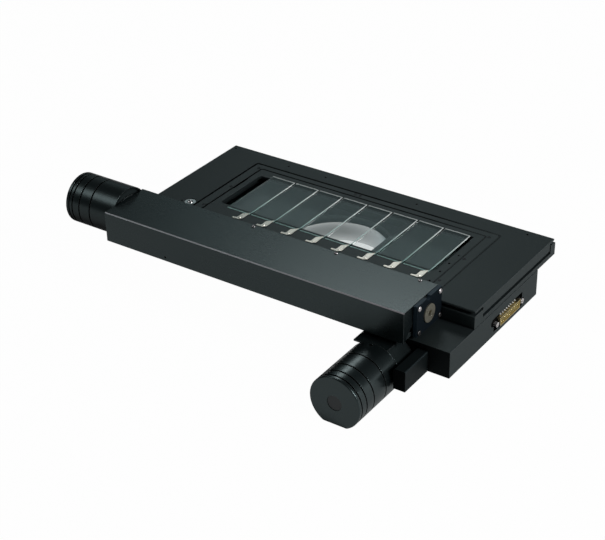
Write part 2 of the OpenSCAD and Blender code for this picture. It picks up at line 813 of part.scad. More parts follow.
module motor_cover(len, ring_places) {
    difference() {
        rotate_extrude($fn = fine) polygon(cover_profile(len));
        translate([0, 0, -len + cover_end_t]) intersection() {
            cylinder(r = motor_cover_r - motor_cover_t, h = len, $fn = fine);
            box([-motor_cover_r, -motor_cover_r, 0], [motor_cover_r, motor_cover_flat - motor_cover_t, len]);
        }
        box([-motor_cover_r, motor_cover_flat, -len - over], [motor_cover_r, motor_cover_r + over, over]);
        for (at = ring_places)
            translate([0, 0, -len + at]) difference() {
                cylinder(r = motor_cover_r + over, h = ring_w, center = true, $fn = fine);
                cylinder(r = motor_cover_r - ring_depth, h = ring_w + over, center = true, $fn = fine);
            }
        translate([0, 0, -len - over]) cylinder(r = badge_r + badge_gap, h = badge_depth + over, $fn = small);
        translate([0, 0, -motor_face + motor_flange_t / 2]) rotate([90, 0, 0])
            cylinder(r = set_screw_r, h = motor_cover_r + over, $fn = small);
    }
}

module badge(len) {
    translate([0, 0, -len + badge_depth - badge_t]) cylinder(r = badge_r, h = badge_t, $fn = small);
}

module y_motor_flange() {
    color("#33393b") on_y_axis(-y_rim) motor_flange();
}

module y_motor() {
    color("#15181a") on_y_axis(-y_rim) motor();
}

module y_motor_cover() {
    color("#2b3234") on_y_axis(-y_rim) motor_cover(y_cover_len, y_ring_places);
}

module y_cover_badge() {
    color("#3a4042") on_y_axis(-y_rim) badge(y_cover_len);
}

module x_motor_flange() {
    color("#33393b") on_x_axis(-bar_left) motor_flange();
}

module x_motor() {
    color("#15181a") on_x_axis(-bar_left) motor();
}

module x_motor_cover() {
    color("#2b3234") on_x_axis(-bar_left) motor_cover(x_cover_len, x_ring_places);
}

module x_cover_badge() {
    color("#3a4042") on_x_axis(-bar_left) badge(x_cover_len);
}

// The housing: a floor and a back wall, an end wall for the motor and a block for each bearing
module x_drive_housing() {
    color("#202628") difference() {
        union() {
            box([-bar_left, -bar_front + cover_t, bar_z],
                [bar_right - cover_t, -bar_back, bar_z + bar_floor_t]);
            box([-bar_left, -bar_back - bar_wall_t, bar_z], [end_plate_x, -bar_back, bar_wall_top]);
            box([-bar_left, -bar_front + cover_t, bar_z], [-bar_left + left_wall_x, -bar_back, bar_wall_top]);
            box([left_block_x, -block_front_left, bar_z],
                [left_block_x + left_block_t, -bar_back, bar_wall_top]);
            box([right_block_x, -block_front, bar_z], [end_plate_x, -bar_back, bar_wall_top]);
        }
        on_x_axis(-bar_left - over) cylinder(r = flange_bore_r, h = left_wall_x + 2 * over, $fn = small);
        on_x_axis(left_block_x - over)
            cylinder(r = x_screw_d / 2 + bore_clear, h = left_block_t + 2 * over, $fn = small);
        on_x_axis(left_block_x + left_block_t - x_bearing_t)
            cylinder(r = x_bearing_r + bearing_fit, h = x_bearing_t + over, $fn = small);
        on_x_axis(right_block_x - over)
            cylinder(r = x_screw_d / 2 + bore_clear, h = end_plate_x - right_block_x + 2 * over, $fn = small);
        on_x_axis(end_plate_x - x_bearing_t)
            cylinder(r = x_bearing_r + bearing_fit, h = x_bearing_t + over, $fn = small);
        box([-nut_slot_half, -bar_back - bar_wall_t - over, lip_z - nut_arm_t - nut_arm_clear],
            [nut_slot_half, -bar_back + over, lip_z + nut_arm_clear]);
    }
}

// The folded cover: top and front, with a flange at the right end whose lower corner is cut away
module x_drive_cover() {
    color("#2a3234") difference() {
        union() {
            along_x(-bar_left, bar_right)
                polygon([[-bar_front, bar_z], [-bar_front, bar_top - cover_bevel],
                    [-bar_front + cover_bevel, bar_top], [-bar_back, bar_top], [-bar_back, bar_wall_top],
                    [-bar_front + cover_t, bar_wall_top], [-bar_front + cover_t, bar_z]]);
            along_x(bar_right - cover_t, bar_right)
                polygon([[-bar_front + cover_t, bar_z], [-bar_front + cover_t, bar_wall_top],
                    [-bar_front + flange_w, bar_wall_top], [-bar_front + flange_w, bar_z + bar_h / 2],
                    [-bar_front + flange_w * flange_cut_share, bar_z + bar_h / 3]]);
        }
        translate([-cover_hole_x, -bar_front + cover_t + over, bar_z + cover_hole_up]) rotate([90, 0, 0])
            cylinder(r = cover_hole_r, h = cover_t + 2 * over, $fn = small);
    }
}

module x_drive_screws() {
    color("#8c9193") {
        for (x = cover_screw_xs)
            translate([x, -bar_back - cover_screw_in, bar_top]) cylinder(r = head_r, h = head_h, $fn = small);
        for (y = [-bar_back - end_plate_w + end_screw_in, -bar_back - end_screw_in],
                z = [bar_z + end_screw_in, bar_top - end_screw_in])
            translate([end_plate_out, y, z]) rotate([0, 90, 0])
                cylinder(r = end_screw_r, h = end_screw_h, $fn = small);
    }
}

module x_end_plate() {
    color("#2c3437") difference() {
        box([end_plate_x, -bar_back - end_plate_w, bar_z], [end_plate_out, -bar_back, bar_top]);
        on_x_axis(end_plate_x - over)
            cylinder(r = cap_spigot_r + bearing_fit, h = end_plate_t + 2 * over, $fn = small);
        translate([end_plate_x - over, -x_axis_front, bar_top]) rotate([0, 90, 0])
            cylinder(r = notch_r, h = end_plate_t + 2 * over, $fn = small);
    }
}

module x_bearing_cap() {
    color("#b9b29a") difference() {
        union() {
            on_x_axis(end_plate_out) cylinder(d = cap_d, h = cap_t, $fn = fine);
            on_x_axis(end_plate_x + screw_clear) cylinder(r = cap_spigot_r, h = end_plate_t, $fn = small);
        }
        on_x_axis(end_plate_x + cap_in) cylinder(r = cap_hole_r, h = end_plate_t + cap_t + over, $fn = small);
        for (side = [-1, 1])
            translate([0, -x_axis_front, x_axis_z]) rotate([cap_pin_angle, 0, 0])
                translate([end_plate_out, side * cap_pin_at, 0]) rotate([0, 90, 0])
                    cylinder(r = cap_pin_r, h = cap_t + over, $fn = small);
    }
}

module x_bearings() {
    color("#aeb2b3") {
        on_x_axis(left_block_x + left_block_t - x_bearing_t)
            ring(x_bearing_r, x_screw_d / 2 + screw_clear, x_bearing_t);
        on_x_axis(end_plate_x - x_bearing_t) ring(x_bearing_r, x_screw_d / 2 + screw_clear, x_bearing_t);
    }
}

module x_leadscrew() {
    color("#c4c8c9") on_x_axis(x_screw_left)
        cylinder(d = x_screw_d, h = end_plate_x - x_screw_left, $fn = small);
}

module x_coupling() {
    color("#9ea3a4") on_x_axis(x_coupling_left)
        coupling(x_coupling_r, x_coupling_right - x_coupling_left,
            x_coupling_left + bar_left + motor_face + shaft_depth,
            x_screw_d / 2 + bearing_fit, x_coupling_right - x_screw_left + bearing_fit);
}

module x_nut() {
    color("#b08d3e") on_x_axis(-x_nut_len / 2)
        ring(x_nut_r, x_screw_d / 2 + screw_clear, x_nut_len);
}

// The nut's block and the thin arm that reaches back through the bar to the stage plate's lip
module x_nut_bracket() {
    color("#3a4144") difference() {
        union() {
            box([-x_nut_len / 2, -x_axis_front - nut_block_half, x_axis_z - nut_block_half],
                [x_nut_len / 2, -x_axis_front + nut_block_half, x_axis_z + nut_block_half]);
            box([-nut_arm_half, -x_axis_front + nut_block_half - over, lip_z - nut_arm_t],
                [nut_arm_half, nut_arm_back, lip_z]);
        }
        on_x_axis(-x_nut_len / 2 - over)
            cylinder(r = x_nut_r + bearing_fit, h = x_nut_len + 2 * over, $fn = small);
    }
}

// The stage plate: a thick middle with a thin lip over each land, and a pocket for the frame and holder
module stage_plate() {
    color("#2a3234") difference() {
        along_x(-plate_x, plate_x)
            polygon([[-stage_front, lip_z], [thick_front_y, lip_z], [thick_front_y, stage_z],
                [thick_back_y, stage_z], [thick_back_y, lip_z], [stage_back, lip_z],
                [stage_back, stage_top - edge], [stage_back - edge, stage_top],
                [-stage_front + edge, stage_top], [-stage_front, stage_top - edge]]);
        round_plate([-stage_window_x, -stage_window_front, stage_z - over],
            [stage_window_x, stage_window_back, stage_top + over], light_r);
        round_plate([-frame_x - holder_clear, -frame_front - holder_clear, pocket_z],
            [frame_x + holder_clear, frame_back + holder_clear, stage_top + over], frame_r);
        translate([fitting_x, fitting_y, stage_top - fitting_h - fitting_down])
            cylinder(r = fitting_r + holder_clear, h = fitting_h + over, $fn = small);
        for (p = plate_hole_places)
            translate([p.x, p.y, stage_top - (p.y > thick_back_y ? lip_t / 2 : plate_hole_depth)])
                cylinder(r = plate_hole_r, h = plate_hole_depth + over, $fn = small);
    }
}

module insert_frame() {
    color("#252b2d") difference() {
        round_plate([-frame_x, -frame_front, pocket_z], [frame_x, frame_back, stage_top], frame_r);
        round_plate([-holder_x - holder_clear, -holder_front - holder_clear, pocket_z - over],
            [holder_x + holder_clear, holder_back + holder_clear, stage_top + over], holder_r);
    }
}

module frame_screws() {
    color("#6f7577") {
        for (x = [-frame_screw_left, frame_screw_right], y = frame_screw_ys)
            translate([x, y, stage_top]) cylinder(r = frame_screw_r, h = frame_screw_h, $fn = small);
        for (x = frame_back_screw_xs)
            translate([x, frame_back_screw_y, stage_top])
                cylinder(r = frame_screw_r, h = frame_screw_h, $fn = small);
    }
}

module round_fitting() {
    color("#c8cbcc") translate([fitting_x, fitting_y, stage_top - fitting_h - fitting_down])
        ring(fitting_r, fitting_r / 3, fitting_h);
}

function slide_x(i) = -slide_left + i * slide_pitch;

// The holder: a pocket for each slide, a ledge under the slide's ends and a bore for each clip's rivet
module slide_holder() {
    color("#1f2527") difference() {
        union() {
            round_plate([-holder_x, -holder_front, pocket_z], [holder_x, holder_back, stage_top], holder_r);
            for (i = [0 : 7])
                translate([slide_x(i) + clip_dx, -slide_front - clip_dy, pocket_z])
                    cylinder(r = clip_boss_r, h = clip_z - clip_clear - pocket_z, $fn = small);
        }
        for (i = [0 : 7])
            translate([slide_x(i) + clip_dx, -slide_front - clip_dy, clip_bore_z])
                cylinder(r = clip_pin_r + clip_pin_clear, h = clip_pin_in + over, $fn = small);
        round_plate([-light_left, -light_front, pocket_z - over],
            [light_right, light_back, stage_top + over], light_r);
        for (i = [0 : 7])
            box([slide_x(i) - slide_clear, -slide_front - slide_clear, glass_z],
                [slide_x(i) + slide_w + slide_clear, slide_l - slide_front + slide_clear, stage_top + over]);
        box([-holder_x - over, notch_y0, pocket_z - over],
            [-holder_x + notch_depth, notch_y1, stage_top + over]);
        for (y = side_hole_ys)
            translate([side_hole_x, y, pocket_z - over])
                cylinder(r = side_hole_r, h = holder_t + 2 * over, $fn = small);
    }
}

module slide(i) {
    color([0.75, 0.87, 0.87, 0.5]) translate([slide_x(i), -slide_front, glass_z])
        cube([slide_w, slide_l, slide_t]);
}

// A clip: a wide finger over the slide's corner, a tail to push and the rivet that it turns with
module clip(i) {
    left = -clip_w * clip_left_share;
    right = left + clip_w;
    color("#d8d2bd") translate([slide_x(i) + clip_dx, -slide_front - clip_dy, clip_z]) {
        linear_extrude(clip_t)
            polygon([[left, clip_tail_y + clip_tail_w], [left, clip_finger - clip_slant],
                [right, clip_finger], [right, -clip_heel],
                [right - clip_w / 2, clip_tail_y - clip_tail_w / 2],
                [-clip_tail, clip_tail_y - clip_tail_w / 2], [-clip_tail, clip_tail_y + clip_tail_w / 2],
                [left - clip_heel, clip_tail_y + clip_tail_w / 2]]);
        translate([0, 0, clip_bore_z + clip_clear - clip_z])
            cylinder(r = clip_pin_r, h = clip_z + clip_t - clip_bore_z - clip_clear, $fn = small);
        translate([0, 0, clip_t]) cylinder(r1 = clip_head_r, r2 = clip_pin_r, h = clip_head_h, $fn = small);
    }
}

module connector_outline(w, h) {
    polygon([[connector_y - w / 2, connector_z + h / 2], [connector_y + w / 2, connector_z + h / 2],
        [connector_y + w / 2 - shell_slant, connector_z - h / 2],
        [connector_y - w / 2 + shell_slant, connector_z - h / 2]]);
}

module connector_shell() {
    color("#c9b06a") difference() {
        along_x(base_right - recess_depth, base_right - recess_depth + shell_len)
            connector_outline(shell_w, shell_h);
        along_x(base_right - recess_depth + shell_t, base_right - recess_depth + shell_len + over)
            connector_outline(shell_w - 2 * shell_t, shell_h - 2 * shell_t);
    }
}

module connector_insert() {
    inset = 2 * (shell_t + insert_fit);
    x = base_right - recess_depth;
    color("#17191a") along_x(x + shell_t, x + shell_len - insert_in)
        connector_outline(shell_w - inset, shell_h - inset);
}

module jack_screws() {
    color("#b9bcbd") for (side = [-1, 1])
        translate([base_right - recess_depth, connector_y + side * jack_spacing / 2, connector_z])
            rotate([0, 90, 0]) difference() {
                cylinder(r = jack_r, h = jack_len, $fn = 6);
                translate([0, 0, jack_len / 2]) cylinder(r = jack_hole_r, h = jack_len, $fn = small);
            }
}

base_plate();
y_fixed_rail(-1);  // y_fixed_rail_left
y_fixed_rail(1);  // y_fixed_rail_right
y_bracket();
y_sheet_cover();
y_motor_flange();
y_motor();
y_motor_cover();
y_cover_badge();
y_bearings();
connector_shell();
connector_insert();
jack_screws();
y_leadscrew();
y_coupling();
y_cages();
carriage_plate();
y_moving_rail(-1);  // y_moving_rail_left
y_moving_rail(1);  // y_moving_rail_right
y_nut();
x_fixed_rail(1);  // x_fixed_rail_front
x_fixed_rail(-1);  // x_fixed_rail_back
x_drive_housing();
x_drive_cover();
x_drive_screws();
x_motor_flange();
x_motor();
x_motor_cover();
x_cover_badge();
x_end_plate();
x_bearing_cap();
x_bearings();
x_leadscrew();
x_coupling();
x_cages();
stage_plate();
x_moving_rail(1);  // x_moving_rail_front
x_moving_rail(-1);  // x_moving_rail_back
x_nut();
x_nut_bracket();
insert_frame();
frame_screws();
round_fitting();
slide_holder();
slide(0);  // slide_1
slide(1);  // slide_2
slide(2);  // slide_3
slide(3);  // slide_4
slide(4);  // slide_5
slide(5);  // slide_6
slide(6);  // slide_7
slide(7);  // slide_8
clip(0);  // clip_1
clip(1);  // clip_2
clip(2);  // clip_3
clip(3);  // clip_4
clip(4);  // clip_5
clip(5);  // clip_6
clip(6);  // clip_7
clip(7);  // clip_8
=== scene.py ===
# Motorised XY microscope stage: finishes, small hardware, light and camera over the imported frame
import math

import bmesh
import bpy
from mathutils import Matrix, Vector


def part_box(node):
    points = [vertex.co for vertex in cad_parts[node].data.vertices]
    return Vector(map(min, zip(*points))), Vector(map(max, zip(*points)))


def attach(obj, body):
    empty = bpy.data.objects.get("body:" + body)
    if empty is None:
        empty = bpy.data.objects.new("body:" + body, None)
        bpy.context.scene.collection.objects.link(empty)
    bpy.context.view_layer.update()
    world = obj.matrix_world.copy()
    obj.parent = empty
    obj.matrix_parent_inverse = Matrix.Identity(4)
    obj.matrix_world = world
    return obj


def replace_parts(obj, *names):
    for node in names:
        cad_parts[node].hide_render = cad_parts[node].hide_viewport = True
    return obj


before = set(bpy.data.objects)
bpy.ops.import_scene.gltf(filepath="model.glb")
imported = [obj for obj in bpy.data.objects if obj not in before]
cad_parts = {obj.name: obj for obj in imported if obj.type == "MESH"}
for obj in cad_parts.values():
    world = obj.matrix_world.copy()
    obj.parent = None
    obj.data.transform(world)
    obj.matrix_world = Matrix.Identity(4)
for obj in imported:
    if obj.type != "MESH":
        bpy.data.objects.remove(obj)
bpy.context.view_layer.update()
print("frame loaded:", len(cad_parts), "nodes")

mm = 0.001
far = 1.0  # a band that runs on to this many metres has no end on the part


# A Wire is one socket of a node tree, and sums on it add Math nodes
class Wire:
    def __init__(self, finish, socket):
        self.finish = finish
        self.socket = socket

    def sum(self, operation, first, second):
        values = {0: first, 1: second}
        return self.finish.add("ShaderNodeMath", {"operation": operation}, values)

    def __add__(self, other):
        return self.sum("ADD", self, other)

    def __radd__(self, other):
        return self.sum("ADD", other, self)

    def __sub__(self, other):
        return self.sum("SUBTRACT", self, other)

    def __rsub__(self, other):
        return self.sum("SUBTRACT", other, self)

    def __mul__(self, other):
        return self.sum("MULTIPLY", self, other)

    def __rmul__(self, other):
        return self.sum("MULTIPLY", other, self)

    def above(self, limit):
        return self.sum("GREATER_THAN", self, limit)

    def below(self, limit):
        return self.sum("LESS_THAN", self, limit)

    def away(self):
        return self.sum("ABSOLUTE", self, 0.0)

    def repeated(self, step):
        return self.sum("FLOORED_MODULO", self, step)

    def clamped(self):
        return self.sum("MINIMUM", self.sum("MAXIMUM", self, 0.0), 1.0)


# How edges and seams are found for painted edge highlights and painted shade, and the black that the painted
# shade falls to
paintedLightAndNoise = {
    "samples": 4, "edgeGain": 4.0, "shadeReach": 2.8 * mm, "shadeOpen": 0.72, "shadeGain": 2.4,
    "black": (0.0006, 0.0008, 0.0009, 1), "blackRoughness": 0.8, "blackSpecular": 0.05,
    "noiseRoughness": 0.55,
}


# The nodes of one material, or of the world
class Finish:
    def __init__(self, block):
        self.block = block
        self.block.use_nodes = True
        self.tree = self.block.node_tree
        self.tree.nodes.clear()

    # Adds a node: its settings first, then a value or a Wire for each named or numbered socket
    def add(self, kind, settings=None, values=None, output=0):
        node = self.tree.nodes.new(kind)
        for key, value in (settings or {}).items():
            if key == "stops":
                while len(node.color_ramp.elements) < len(value):
                    node.color_ramp.elements.new(0.5)
                for element, (place, shade) in zip(node.color_ramp.elements, value):
                    element.position = place
                    element.color = (shade, shade, shade, 1)
            else:
                setattr(node, key, value)
        for key, value in (values or {}).items():
            if isinstance(value, Wire):
                self.tree.links.new(value.socket, node.inputs[key])
            else:
                node.inputs[key].default_value = value
        return Wire(self, node.outputs[output]) if len(node.outputs) else None

    # Mixes two colours by a factor
    def blend(self, factor, first, second):
        node = self.tree.nodes.new("ShaderNodeMix")
        node.data_type = "RGBA"
        colours = [s for s in node.inputs if s.type == "RGBA"]
        for socket, value in zip([node.inputs[0]] + colours, (factor, first, second)):
            if isinstance(value, Wire):
                self.tree.links.new(value.socket, socket)
            else:
                socket.default_value = value if isinstance(value, float) else (*value, 1)
        return Wire(self, [s for s in node.outputs if s.type == "RGBA"][0])

    # Vector Math on places and directions; its output 1 is a number
    def vector(self, operation, first, second=(0, 0, 0), output=0):
        return self.add("ShaderNodeVectorMath", {"operation": operation}, {0: first, 1: second}, output)

    def place(self):
        return self.add("ShaderNodeTexCoord", output=3)

    # One coordinate of the place: 0, 1 or 2
    def along(self, axis):
        return self.add("ShaderNodeSeparateXYZ", values={"Vector": self.place()}, output=axis)

    # 1 between two places along an axis
    def within(self, axis, low, high):
        return self.along(axis).above(low) * self.along(axis).below(high)

    # How far a place is from the light path's axis
    def reach(self):
        return self.vector("LENGTH", self.vector("MULTIPLY", self.place(), (1, 1, 0)), output=1)

    # 1 within a distance of a point
    def spot(self, centre, radius):
        return self.vector("DISTANCE", self.place(), centre, 1).below(radius)

    # A line of the given width on a rounded rectangle's outline, seen from above
    def outline(self, middle, half, corner, width):
        near = self.vector("ABSOLUTE", self.vector("SUBTRACT", self.place(), (*middle, 0)))
        near = self.vector("SUBTRACT", near, (half[0] - corner, half[1] - corner, 1))
        reach = self.vector("LENGTH", self.vector("MAXIMUM", near), output=1)
        return (reach - corner).away().below(width / 2)

    def noise(self, scale, detail=3.0, stretch=None):
        where = self.place()
        if stretch:
            where = self.add("ShaderNodeMapping", values={"Vector": where, "Scale": stretch})
        values = {"Vector": where, "Scale": scale, "Detail": detail, "Roughness": paintedLightAndNoise["noiseRoughness"]}
        return self.add("ShaderNodeTexNoise", values=values)

    # A normal that rounds machined edges off
    def rounded(self, radius):
        return self.add("ShaderNodeBevel", {"samples": paintedLightAndNoise["samples"]}, {"Radius": radius})

    # How near a machined edge is: 0 on a face, towards 1 on its edge
    def edgeOf(self, rounded):
        true = self.add("ShaderNodeNewGeometry", output=1)
        along = self.vector("DOT_PRODUCT", rounded, true, 1)
        return ((1.0 - along) * paintedLightAndNoise["edgeGain"]).clamped()

    # How deep a spot lies in a groove or seam, as a mask of painted shade: 0 in the open, towards 1 where walls
    # stand close
    def paintedShadeOf(self):
        settings = {"samples": paintedLightAndNoise["samples"]}
        openness = self.add("ShaderNodeAmbientOcclusion", settings, {"Distance": paintedLightAndNoise["shadeReach"]}, 1)
        return ((paintedLightAndNoise["shadeOpen"] - openness) * paintedLightAndNoise["shadeGain"]).clamped()

    def bump(self, height, strength, distance, normal=None):
        values = {"Height": height, "Strength": strength, "Distance": distance}
        if normal:
            values["Normal"] = normal
        return self.add("ShaderNodeBump", values=values)

    def surface(self, values):
        return self.add("ShaderNodeBsdfPrincipled", values=values)

    def mix(self, factor, first, second):
        return self.add("ShaderNodeMixShader", values={0: factor, 1: first, 2: second})

    # Lets a shader fall to black where a gap, groove or hole swallows the light
    def sunk(self, mask, shader):
        black = self.surface({
            "Base Color": paintedLightAndNoise["black"], "Roughness": paintedLightAndNoise["blackRoughness"],
            "Specular IOR Level": paintedLightAndNoise["blackSpecular"],
        })
        return self.mix(mask, shader, black)

    def out(self, shader, kind="ShaderNodeOutputMaterial"):
        self.add(kind, values={"Surface": shader})
        return self.block


def startFinish(name):
    return Finish(bpy.data.materials.new(name))


anodised = {
    "coverDye": ((0.0022, 0.0034, 0.0038), (0.0042, 0.0060, 0.0066)),
    "plateDye": ((0.0095, 0.0130, 0.0138), (0.0130, 0.0172, 0.0180)),
    "endDye": ((0.012, 0.022, 0.034), (0.018, 0.032, 0.048)),
    # The edge colour is a painted highlight along machined edges
    "edgeHighlight": (0.150, 0.162, 0.167), "edgeRadius": 0.45 * mm, "edgeShare": 0.8,
    "cloudScale": 14, "cloudDetail": 4.0, "cloudRough": 0.08,
    "grainScale": 2600, "grainDetail": 2.0, "grainDepth": 0.06 * mm, "grainRough": 0.06,
    "sheen": (0.74, 0.97, 0.99, 1.0),
}


# What every black plate shares: a faint cloud in the dye, a painted highlight along its edges, a fine blasted
# grain and painted shade in its seams and corners
def plateLayers(finish, roughness, grain, dye="plateDye", edgeTone=anodised["edgeHighlight"], streak=None):
    cloud = finish.noise(anodised["cloudScale"], anodised["cloudDetail"])
    rounded = finish.rounded(anodised["edgeRadius"])
    colour = finish.blend(cloud, *anodised[dye])
    colour = finish.blend(finish.edgeOf(rounded) * anodised["edgeShare"], colour, edgeTone)
    speck = finish.noise(anodised["grainScale"], anodised["grainDetail"], streak)
    relief = finish.bump(speck, grain, anodised["grainDepth"], rounded)
    rough = roughness + (cloud - 0.5) * anodised["cloudRough"] + (speck - 0.5) * anodised["grainRough"]
    return colour, rough, relief, finish.paintedShadeOf()


# The dyed surface, with painted shade taking it to black where the shade mask is high
def dyedAndShadedSurface(finish, paintedShade, colour, rough, relief, ior, metallic=0.0):
    return finish.out(finish.sunk(paintedShade.clamped(), finish.surface({
        "Base Color": colour, "Roughness": rough, "Normal": relief, "IOR": ior,
        "Metallic": metallic, "Specular Tint": anodised["sheen"],
    })))


# Painted shade lines in the gaps round the holder and its frame: middle, half size, corner radius and width.
# They fade towards the right, where the light falls into the gaps.
gapShade = {
    "holder": ((0, 7.3 * mm), (127.3 * mm, 50.7 * mm), 2.0 * mm, 1.8 * mm),
    "frame": ((0, 10.1 * mm), (138 * mm, 55.9 * mm), 2.0 * mm, 2.2 * mm),
    "fadeFrom": 70 * mm, "fadeRate": 16.0, "fadeShare": 0.65,
}
# The opening under the slides, painted black as shade, with its right side slanting in towards the back
slideWell = {"left": -107.5 * mm, "right": 114.5 * mm, "front": -25.5 * mm, "back": 50.5 * mm, "flare": 0.05}


# Black anodised aluminium, with painted shade along gap outlines, over a well's opening and in darker bands,
# and a painted highlight along one edge.
def anodisedFinish(name, roughness, grain, ior, gaps=(), well=None, shadeBands=(), highlightLine=None, **layers):
    finish = startFinish(name)
    colour, rough, relief, paintedShade = plateLayers(finish, roughness, grain, **layers)
    for gap in gaps:
        fade = ((finish.along(0) - gapShade["fadeFrom"]) * gapShade["fadeRate"]).clamped()
        paintedShade = paintedShade + finish.outline(*gapShade[gap]) * (1.0 - fade * gapShade["fadeShare"])
    # The well under the slides is filled with painted shade
    if well:
        slant = finish.along(0) - (finish.along(1) - well["front"]) * well["flare"]
        inside = finish.along(0).above(well["left"]) * slant.below(well["right"])
        paintedShade = paintedShade + inside * finish.within(1, well["front"], well["back"])
    # Bands darkened with painted shade
    for axis, low, high, share in shadeBands:
        paintedShade = paintedShade + finish.within(axis, low, high) * share
    # A painted highlight along one edge
    if highlightLine:
        highlightBand = finish.along(1).below(highlightLine["front"] + highlightLine["width"])
        highlightBand = highlightBand * finish.along(2).above(highlightLine["top"] - highlightLine["width"])
        colour = finish.blend(highlightBand, colour, highlightLine["tone"])
    return dyedAndShadedSurface(finish, paintedShade, colour, rough, relief, ior)


turned = {
    "cloudDetail": 3.0, "edgeRadius": 0.6 * mm, "edgeShare": 0.6, "grooveHalf": 0.75 * mm,
    "shadeRate": 60.0, "shadeShare": 0.80,
    "markScale": 1700, "markDetail": 2.0, "markStretch": 0.02,
    "markStrength": 0.22, "markDepth": 0.05 * mm, "markRough": 0.10,
}


# Turned covers: rings of tool marks around the axis on the same black dye, a painted highlight along edges, and
# painted shade in the ring grooves, in a hole and below a height where these are given
def turnedFinish(name, axis, roughness, ior, grooves, hole=None, shadeUnder=None):
    finish = startFinish(name)
    cloud = finish.noise(anodised["cloudScale"], turned["cloudDetail"])
    rounded = finish.rounded(turned["edgeRadius"])
    paintedShade = finish.paintedShadeOf()
    run = finish.along(axis)
    # Painted shade in each ring groove
    for groove in grooves:
        paintedShade = paintedShade + (run - groove).away().below(turned["grooveHalf"])
    if hole:
        paintedShade = paintedShade + finish.spot(*hole)
    if shadeUnder:
        under = ((shadeUnder - finish.along(2)) * turned["shadeRate"]).clamped()
        paintedShade = paintedShade + under * turned["shadeShare"]
    stretch = [1.0 if i == axis else turned["markStretch"] for i in range(3)]
    marks = finish.noise(turned["markScale"], turned["markDetail"], stretch)
    colour = finish.blend(cloud, *anodised["coverDye"])
    colour = finish.blend(finish.edgeOf(rounded) * turned["edgeShare"], colour, anodised["edgeHighlight"])
    relief = finish.bump(marks, turned["markStrength"], turned["markDepth"], rounded)
    rough = roughness + (marks - 0.5) * turned["markRough"]
    return dyedAndShadedSurface(finish, paintedShade, colour, rough, relief, ior)


metal = {
    "edgeRadius": 0.25 * mm, "streakScale": 900, "streakDetail": 3.0, "streakStrength": 0.15,
    "streakDepth": 0.03 * mm, "streakRough": 0.16, "shadeShare": 0.85,
}


# Bare or plated metal with a brushed direction, sunk into painted shade below a height where one is given
def metalFinish(name, light, dark, roughness, stretch=None, scale=metal["streakScale"], shadeUnder=None):
    finish = startFinish(name)
    streaks = finish.noise(scale, metal["streakDetail"], stretch)
    rounded = finish.rounded(metal["edgeRadius"])
    shader = finish.surface({
        "Base Color": finish.blend(streaks, dark, light), "Metallic": 1.0,
        "Roughness": roughness + (streaks - 0.5) * metal["streakRough"],
        "Normal": finish.bump(streaks, metal["streakStrength"], metal["streakDepth"], rounded),
    })
    if shadeUnder:
        shader = finish.sunk(finish.along(2).below(shadeUnder) * metal["shadeShare"], shader)
    return finish.out(shader)


thread = {
    "bandsPerMetre": 3.18,  # of a wave node at scale 1
    "stops": [(0.3, 0.0), (0.55, 1.0)], "root": (0.10, 0.10, 0.10), "crest": (0.55, 0.56, 0.56),
    "strength": 0.9, "depth": 0.4 * mm, "roughness": 0.22, "oilScale": 120, "oilRough": 0.14,
}


# A drive screw: thread turns as relief along one axis, with the roots painted darker than the crests as shade
def threadFinish(name, axis, pitch):
    finish = startFinish(name)
    wave = finish.add("ShaderNodeTexWave",
                      {"wave_type": "BANDS", "bands_direction": "XYZ"[axis], "wave_profile": "SIN"},
                      {"Vector": finish.place(), "Scale": 1 / pitch / thread["bandsPerMetre"],
                       "Distortion": 0.0})
    ramp = finish.add("ShaderNodeValToRGB", {"stops": thread["stops"]}, {"Fac": wave})
    height = finish.add("ShaderNodeRGBToBW", values={"Color": ramp})
    return finish.out(finish.surface({
        "Base Color": finish.blend(height, thread["root"], thread["crest"]), "Metallic": 1.0,
        "Roughness": thread["roughness"] + finish.noise(thread["oilScale"]) * thread["oilRough"],
        "Normal": finish.bump(height, thread["strength"], thread["depth"]),
    }))


plastic = {
    "edgeRadius": 0.3 * mm, "grainScale": 1800, "grainDetail": 2.0, "grainStrength": 0.2,
    "grainDepth": 0.04 * mm, "grainRough": 0.1,
}


# Paint and moulded plastic with a fine grain
def plasticFinish(name, dark, light, roughness):
    finish = startFinish(name)
    grain = finish.noise(plastic["grainScale"], plastic["grainDetail"])
    rounded = finish.rounded(plastic["edgeRadius"])
    return finish.out(finish.surface({
        "Base Color": finish.blend(grain, dark, light),
        "Roughness": roughness + (grain - 0.5) * plastic["grainRough"],
        "Normal": finish.bump(grain, plastic["grainStrength"], plastic["grainDepth"], rounded),
    }))


slideGlass = {
    "face": (0.93, 0.975, 0.965, 1), "bend": 1.04, "coatBend": 1.8, "coatRoughness": 0.03,
    "haze": 0.02, "smearScale": 45, "smearDetail": 4.0, "smearRough": 0.03,
    "left": -107.5 * mm, "pitch": 28 * mm, "width": 26 * mm, "front": -25.5 * mm, "back": 50.5 * mm,
    "rightLine": 0.55 * mm, "leftLine": 0.35 * mm, "backLine": 0.8 * mm, "frontLine": 0.7 * mm,
    "rightShare": (0.45, 0.55), "leftShare": 0.20, "backShare": 0.85, "frontShare": 0.90,
    "teal": (0.42, 0.73, 0.68), "highlightWhite": (0.95, 1.0, 0.99), "highlightRate": 15.0,
    "groundScale": 2200, "groundDetail": 2.0, "groundShare": 0.25, "groundTone": (0.60, 0.75, 0.72),
    "groundRoughness": 0.40, "groundBend": 1.52,
}
